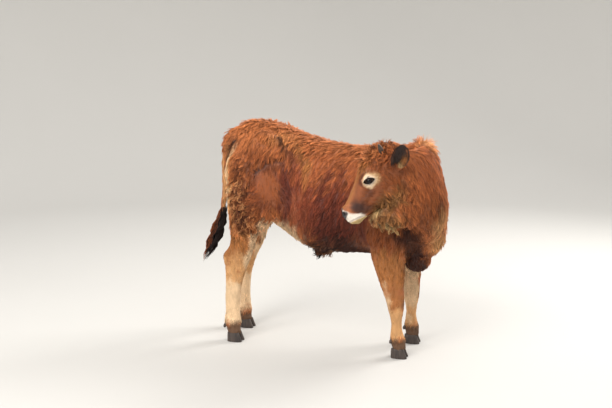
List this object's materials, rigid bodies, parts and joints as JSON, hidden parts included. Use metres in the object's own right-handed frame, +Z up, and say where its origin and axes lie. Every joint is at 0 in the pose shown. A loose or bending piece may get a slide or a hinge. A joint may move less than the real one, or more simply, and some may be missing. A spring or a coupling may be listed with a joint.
{
  "type": "beef calf",
  "caption": "Standing young beef calf with a shaggy red-brown winter coat and its head turned back along its right side; a still, life-size model.",
  "frame": {"origin": "on the floor, under the middle of the whole calf's box", "axes": "+X towards the calf's chest, +Y to its left, +Z up"},
  "size_m": [1.244, 0.6706, 1.0748],
  "materials": {
    "coat": "shaggy red-brown winter coat",
    "face": "short brown coat, pale round the eyes and muzzle",
    "leg_coat": "short pale fawn coat",
    "switch": "long dark tail hair",
    "eye": "wet, dark",
    "horn": "dull grey horn",
    "hoof": "dull dark horn, worn"
  },
  "bodies": {
    "root": {"trunk": "coat", "neck": "coat", "head": "face", "tail_stem": "coat", "tail_switch": "switch", "leg_hind_right": "leg_coat", "hoof_hind_right_inner": "hoof", "dewclaw_hind_right_inner": "hoof", "hoof_hind_right_outer": "hoof", "dewclaw_hind_right_outer": "hoof", "leg_hind_left": "leg_coat", "hoof_hind_left_inner": "hoof", "dewclaw_hind_left_inner": "hoof", "hoof_hind_left_outer": "hoof", "dewclaw_hind_left_outer": "hoof", "leg_fore_right": "leg_coat", "hoof_fore_right_inner": "hoof", "dewclaw_fore_right_inner": "hoof", "hoof_fore_right_outer": "hoof", "dewclaw_fore_right_outer": "hoof", "leg_fore_left": "leg_coat", "hoof_fore_left_inner": "hoof", "dewclaw_fore_left_inner": "hoof", "hoof_fore_left_outer": "hoof", "dewclaw_fore_left_outer": "hoof", "ear_right": "face", "eye_right": "eye", "horn_right": "horn", "ear_left": "face", "eye_left": "eye", "horn_left": "horn"}
  },
  "joints": []
}
